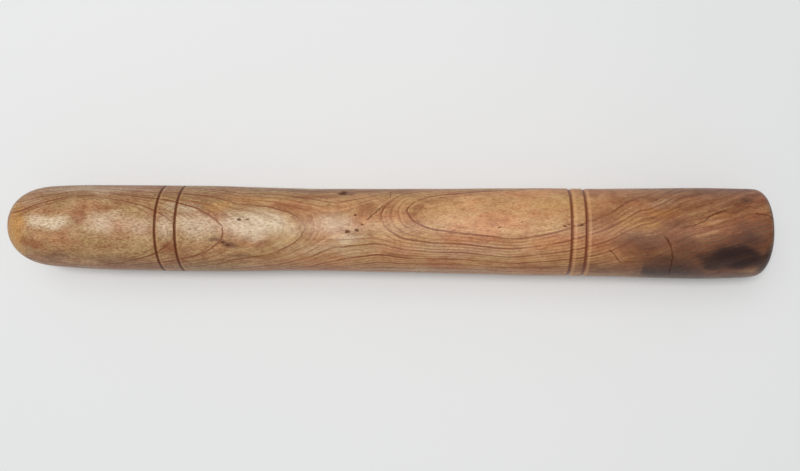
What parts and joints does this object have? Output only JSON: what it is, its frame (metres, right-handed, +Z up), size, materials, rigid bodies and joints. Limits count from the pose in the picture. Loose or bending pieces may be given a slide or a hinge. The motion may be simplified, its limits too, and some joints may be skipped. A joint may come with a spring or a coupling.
{
  "type": "muddler",
  "caption": "One-piece turned wooden bar muddler with a rounded handle end, a slightly waisted grip, fine turned lines and a fuller head with a flat working face",
  "frame": {"origin": "Centre of the flat working face", "axes": "+X along the muddler's axis, out of the working face, so the handle runs towards -X; +Z up as it lies on a surface; +Y across"},
  "size_m": [0.3, 0.0362, 0.0362],
  "materials": {
    "wood": "satin"
  },
  "bodies": {
    "root": {"turned_body": "wood"}
  },
  "joints": []
}
